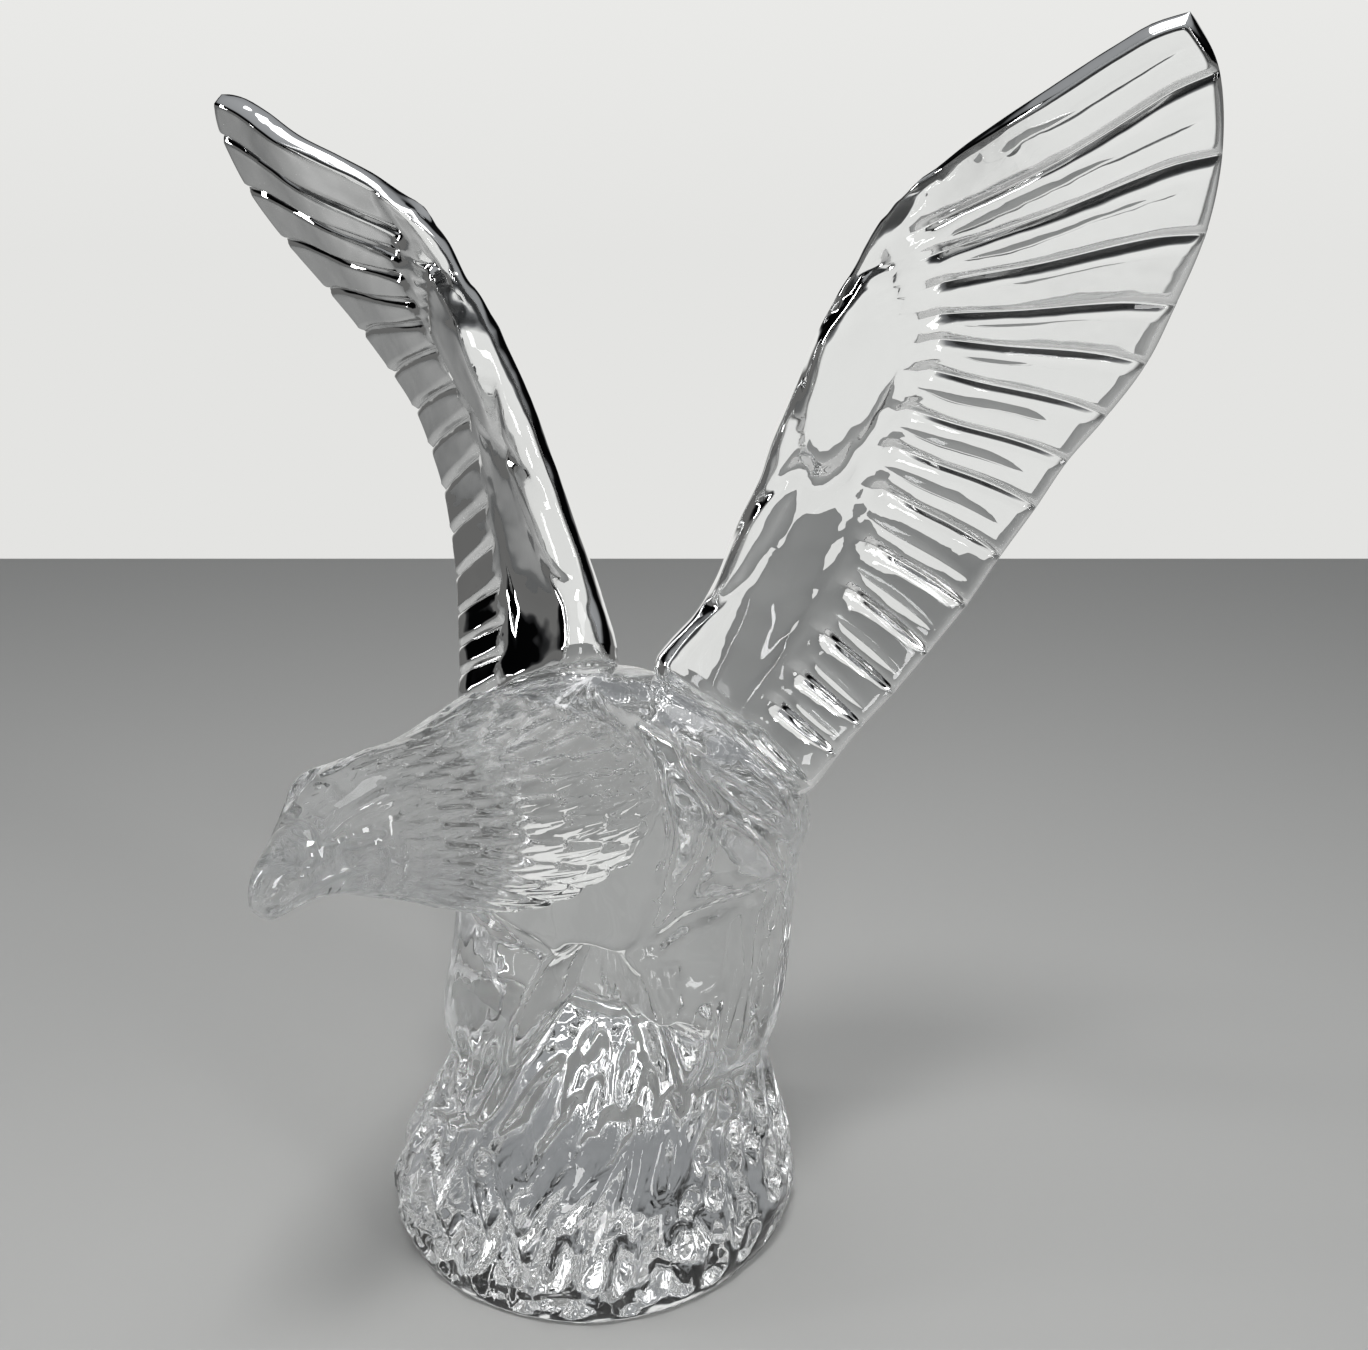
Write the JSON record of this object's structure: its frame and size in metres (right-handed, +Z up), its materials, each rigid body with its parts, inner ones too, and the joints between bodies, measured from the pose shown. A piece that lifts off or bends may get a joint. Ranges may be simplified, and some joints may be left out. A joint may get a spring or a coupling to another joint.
{
  "type": "eagle figurine",
  "caption": "Clear crystal eagle with raised wings, perched on a carved rock mound with a flat underside; a standing ornament.",
  "frame": {"origin": "centre of the base's flat underside", "axes": "+Z up along the figure's height, the bird faces -Y, its left wing reaches towards +X"},
  "size_m": [0.2266, 0.1371, 0.2401],
  "materials": {
    "lead_crystal": "fire-polished clear lead crystal"
  },
  "bodies": {
    "root": {"crystal_eagle": "lead_crystal"}
  },
  "joints": []
}
